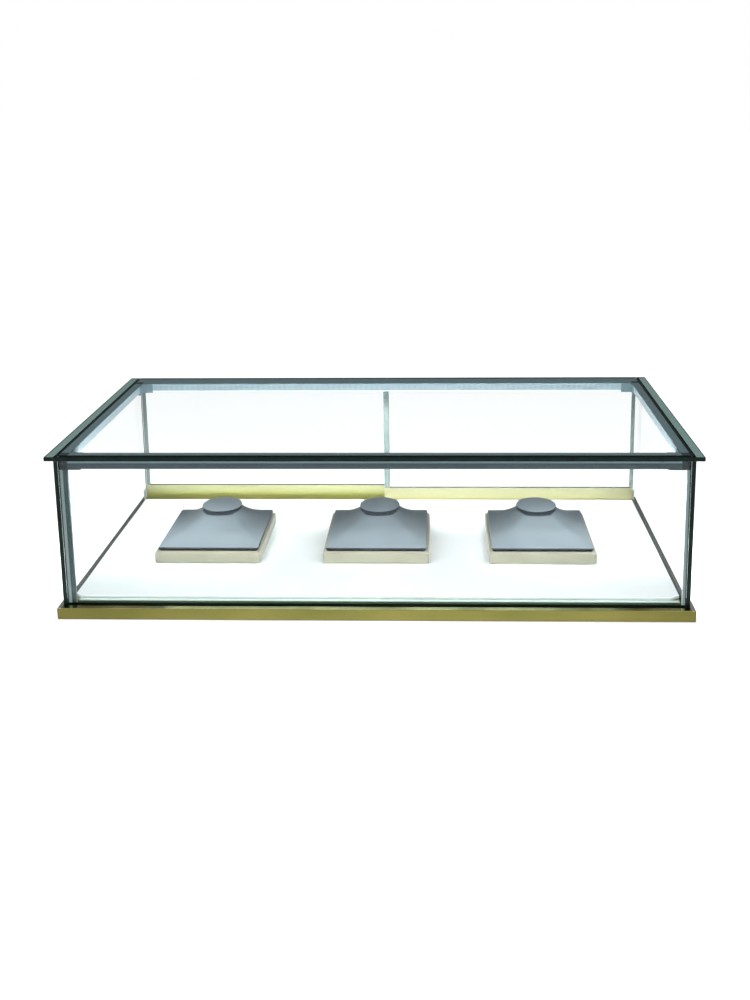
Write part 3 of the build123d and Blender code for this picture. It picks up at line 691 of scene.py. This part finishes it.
def drape_rings(place, half_x, half_y, neck, rim, top):
    """Rings and slots of the leatherette from the slab's rim up to the neck."""
    about = Vector(place[1])
    edge = along_edge(place, half_x, half_y, FORM_CORNER, EDGE_ROLL)
    soft = along_edge(place, half_x, half_y, SOFT_CORNER)
    rings = []
    kinds = []
    for step in range(1, NECK_RINGS + 1):
        share = step / NECK_RINGS
        slack = 4 * share * (1 - share)
        ring = []
        for i in range(TURNS):
            way = (edge[i] - about).normalized()
            outer = (edge[i] - about).length
            radius = outer + (neck - outer) * share
            spread = (soft[i] - about).length
            fall = min(math.log(radius / neck) / math.log(spread / neck), 1.0)
            height = rim + (top - rim) * (1 - fall) ** DROOP
            ridge = RIDGE * slack * ridges(math.atan2(way.y, way.x))
            pucker = PUCKER * slack * noise.noise(Vector((way.x * 5, way.y * 5, share * 2.0)))
            point = about + way * radius
            ring.append((point.x, point.y, min(height + ridge + pucker, top)))
        rings.append(ring)
        # Near the neck the darker leatherette is painted shadow under the cap.
        kinds.append(SHADE_BAND if share > NECK_BAND else LEATHER)
    return rings, kinds


def form_piece(stand, materials):
    """Leatherette drawn tight from the neck down to a square slab, with a recess under the slab whose
    near-black felt is painted shadow.
    """
    low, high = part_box(stand + "_stand_form")
    cap_low, cap_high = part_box(stand + "_stand_cap")
    middle = ((low.x + high.x) / 2, (low.y + high.y) / 2)
    about = ((cap_low.x + cap_high.x) / 2, (cap_low.y + cap_high.y) / 2)
    place = (middle, about)
    half_x, half_y = (high.x - low.x) / 2, (high.y - low.y) / 2
    neck = (cap_high.x - cap_low.x) / 2 - NECK_WAIST
    rim = low.z + SLAB
    rings, kinds = slab_rings(place, half_x, half_y, low.z, rim)
    drape, drape_kinds = drape_rings(place, half_x, half_y, neck, rim, high.z)
    rings += drape
    kinds += drape_kinds
    rings.append([(about[0] + (x - about[0]) * NECK_TOP, about[1] + (y - about[1]) * NECK_TOP, z)
                  for x, y, z in rings[-1]])
    kinds.append(LEATHER)
    piece = ring_piece(stand + "_stand_leather_form", rings, materials, kinds)
    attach(piece, stand + "_stand")
    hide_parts(stand + "_stand_form")


def cap_piece(stand, leather):
    """Round neck cap: a domed pad with a thin rolled welt round its edge."""
    low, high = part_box(stand + "_stand_cap")
    x, y = (low.x + high.x) / 2, (low.y + high.y) / 2
    radius = (high.x - low.x) / 2
    rings = []
    for share, rise in CAP_OUTLINE:
        ring = []
        for i in range(TURNS):
            angle = 2 * math.pi * i / TURNS
            ring.append((x + radius * share * math.cos(angle), y + radius * share * math.sin(angle),
                         low.z + (high.z - low.z) * rise))
        rings.append(ring)
    piece = ring_piece(stand + "_stand_padded_cap", rings, [leather])
    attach(piece, stand + "_stand")
    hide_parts(stand + "_stand_cap")


def block_levels(tall):
    """How far each ring of the cream block stands in, and how high, from its foot to its top."""
    roll = BLOCK_ROLL
    levels = [(roll * 2.2, 0.0), (roll, 0.0)]
    for step in range(1, EDGE_STEPS + 1):
        angle = QUARTER * step / EDGE_STEPS
        levels.append((roll * (1 - math.sin(angle)) + CROWN, roll * BLOCK_FOOT * (1 - math.cos(angle))))
    for share in (0.2, 0.35, 0.5, 0.65, 0.8):
        levels.append((CROWN * (1 - math.sin(math.pi * share)), tall * share))
    for step in range(EDGE_STEPS + 1):
        angle = QUARTER * step / EDGE_STEPS
        levels.append((roll * (1 - math.cos(angle)) + TOP_IN, tall - roll + roll * math.sin(angle)))
    levels.append((roll * 2.5, tall))
    return levels


def base_piece(stand, leather):
    """Block wrapped in cream leatherette: rolled edges and faintly crowned sides."""
    low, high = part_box(stand + "_stand_base")
    centre = ((low.x + high.x) / 2, (low.y + high.y) / 2)
    half_x, half_y = (high.x - low.x) / 2, (high.y - low.y) / 2
    rings = []
    for inset, rise in block_levels(high.z - low.z):
        outline = rounded_square(centre, half_x, half_y, BLOCK_CORNER, inset)
        rings.append([(px, py, low.z + rise) for px, py in outline])
    piece = ring_piece(stand + "_stand_wrapped_base", rings, [leather])
    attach(piece, stand + "_stand")
    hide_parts(stand + "_stand_base")


# ---------------------------------------------------------------- stage, light, camera

FLOOR_HALF = 30.0
FLOOR_GLOW = 0.72


def pale_floor():
    """Near-white floor that glows a little, as a lit studio sweep does."""
    t = Tree("pale_floor")
    cloud = t.noise(0.8, 3.0)
    colour = t.blend(t.between(cloud, 0.3, 0.7), srgb(246, 247, 247), srgb(251, 251, 250))
    return t.done(t.surface(colour, 0.7, 0.0, Specular_IOR_Level=0.0,
                            Emission_Color=(1, 1, 1, 1), Emission_Strength=FLOOR_GLOW))


def make_floor():
    corners = [(x * FLOOR_HALF, y * FLOOR_HALF, 0) for x, y in ((-1, -1), (1, -1), (1, 1), (-1, 1))]
    mesh = bpy.data.meshes.new("floor")
    mesh.from_pydata(corners, [], [(0, 1, 2, 3)])
    mesh.materials.append(pale_floor())
    floor = bpy.data.objects.new("floor", mesh)
    bpy.context.scene.collection.objects.link(floor)


def make_world():
    """White for what is seen directly or through glass. Its light on surfaces comes mostly from above."""
    world = bpy.data.worlds.new("studio")
    world.use_nodes = True
    nodes, links = world.node_tree.nodes, world.node_tree.links

    def node(kind, inputs, **settings):
        made = nodes.new("ShaderNode" + kind)
        for name, value in settings.items():
            setattr(made, name, value)
        for key, value in inputs.items():
            if isinstance(value, bpy.types.NodeSocket):
                links.new(value, made.inputs[key])
            else:
                made.inputs[key].default_value = value
        return made

    path = node("LightPath", {}).outputs
    way = node("TexCoord", {}).outputs["Generated"]
    height = node("SeparateXYZ", {0: way}).outputs[2]
    bounced = node("Math", {0: path["Diffuse Depth"], 1: path["Glossy Depth"]}, operation="ADD").outputs[0]
    bounced = node("Math", {0: bounced, 1: 0.5}, operation="GREATER_THAN").outputs[0]
    sky = node("MapRange", {0: height, 1: 0.35, 2: 0.85, 3: 0.1, 4: 0.56}).outputs[0]
    strength = node("Mix", {0: bounced, 2: 1.0, 3: sky}, data_type="FLOAT").outputs[0]
    links.new(strength, nodes["Background"].inputs["Strength"])
    nodes["Background"].inputs["Color"].default_value = (1.0, 1.0, 1.0, 1.0)
    bpy.context.scene.world = world


def lamp(name, place, target, size, power, spread=math.pi):
    """A soft rectangular lamp that shows neither to the camera, nor through glass, nor in a mirror."""
    data = bpy.data.lights.new(name, "AREA")
    data.shape = "RECTANGLE"
    data.size, data.size_y = size
    data.energy = power
    data.spread = spread
    light = bpy.data.objects.new(name, data)
    light.location = place
    light.rotation_mode = "QUATERNION"
    light.rotation_quaternion = (Vector(target) - Vector(place)).to_track_quat("-Z", "Y")
    light.visible_camera = False
    light.visible_transmission = False
    light.visible_glossy = False
    bpy.context.scene.collection.objects.link(light)


BAR_DROP = 2 * MM       # the bars' lamps hang this far under the opal covers
BAR_IN = 4 * MM         # and stand this far inside them
LONG_BAR = (1.1, 0.01)
SHORT_BAR = (0.01, 0.46)


def light_bars():
    """The light that the four bars throw down into the case."""
    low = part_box("front_light_diffuser")[0].z - BAR_DROP
    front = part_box("front_light_diffuser")[1].y + BAR_IN
    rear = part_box("rear_light_diffuser")[0].y - BAR_IN
    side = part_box("right_light_diffuser")[0].x - BAR_IN
    lamp("front_bar_light", (0, front, low), (0, front + 0.12, 0), LONG_BAR, 6.4)
    lamp("rear_bar_light", (0, rear, low), (0, rear - 0.01, 0), LONG_BAR, 1.7, math.radians(75))
    lamp("left_bar_light", (-side, 0, low), (-side + 0.03, 0, 0), SHORT_BAR, 0.45, math.radians(80))
    lamp("right_bar_light", (side, 0, low), (side - 0.03, 0, 0), SHORT_BAR, 0.45, math.radians(80))


def studio_lamps():
    """A key from above, a strip at each side and a broad fill in front."""
    lamp("key", (-0.2, -1.3, 2.3), (0.0, 0.0, 0.1), (1.6, 0.8), 6.0)
    lamp("left_strip", (-1.1, -0.7, 1.5), (0.0, 0.0, 0.05), (0.5, 0.5), 2.2)
    lamp("right_strip", (1.2, -0.7, 1.5), (0.0, 0.0, 0.05), (0.5, 0.5), 2.2)
    lamp("front_fill", (0.3, -3.0, 0.9), (0.0, 0.0, 0.15), (2.4, 1.0), 9.0)


CAMERA_PLACE = (0.12222, -2.12294, 0.94313)
CAMERA_PITCH = 0.19122
CAMERA_YAW = -0.0325
CAMERA_ROLL = -0.01054
LENS_MM = 38.352
SENSOR_MM = 36.0
SHIFT = (-0.02924, -0.18961)


def make_camera():
    """The camera: forward, level and upward come from pitch and yaw, and roll turns the last two."""
    data = bpy.data.cameras.new("camera")
    data.sensor_width = SENSOR_MM
    data.lens = LENS_MM
    data.shift_x, data.shift_y = SHIFT
    data.clip_start, data.clip_end = 0.05, 100.0
    camera = bpy.data.objects.new("camera", data)
    bpy.context.scene.collection.objects.link(camera)
    cp, sp = math.cos(CAMERA_PITCH), math.sin(CAMERA_PITCH)
    cy, sy = math.cos(CAMERA_YAW), math.sin(CAMERA_YAW)
    cr, sr = math.cos(CAMERA_ROLL), math.sin(CAMERA_ROLL)
    forward = Vector((sy * cp, cy * cp, -sp))
    level = Vector((cy, -sy, 0.0))
    upward = Vector((sy * sp, cy * sp, cp))
    right = cr * level + sr * upward
    up = cr * upward - sr * level
    turn = Matrix((right, up, -forward)).transposed().to_4x4()
    camera.matrix_world = Matrix.Translation(CAMERA_PLACE) @ turn
    bpy.context.scene.camera = camera


# ---------------------------------------------------------------- scene

def make_stands():
    """Three necklace stands, each of a cream block, a grey form and a neck cap."""
    # The grey form's last colour is painted shade towards the back of the forms.
    grey = satin_leather("grey_leatherette", srgb(142, 155, 162), srgb(134, 147, 154), srgb(70, 82, 88))
    pad = satin_leather("pad_leatherette", srgb(128, 140, 147), srgb(120, 132, 139))
    # A darker copy of the grey leatherette: painted shade on the slab's side and under the cap.
    shade_leather = satin_leather("shade_leatherette", srgb(52, 61, 70), srgb(46, 54, 63))
    cream = leatherette("cream_leatherette", srgb(139, 138, 121), srgb(131, 130, 113), 0.5)
    # Near-black felt for the recess under the slab: painted shadow.
    black = shadow_felt()
    for stand in ("left", "centre", "right"):
        base_piece(stand, cream)
        form_piece(stand, [grey, black, shade_leather])
        cap_piece(stand, pad)


def set_light_paths():
    """Light through several panes takes many bounces. Caustics would count the lamps twice."""
    scene = bpy.context.scene
    scene.view_settings.view_transform = "Standard"
    scene.cycles.caustics_refractive = False
    scene.cycles.caustics_reflective = False
    scene.cycles.max_bounces = 16
    scene.cycles.transmission_bounces = 14
    scene.cycles.glossy_bounces = 6
    scene.cycles.diffuse_bounces = 4
    scene.cycles.transparent_max_bounces = 16


for node, material in node_materials().items():
    dress(node, material)
make_stands()
make_floor()
make_world()
studio_lamps()
light_bars()
make_camera()
set_light_paths()
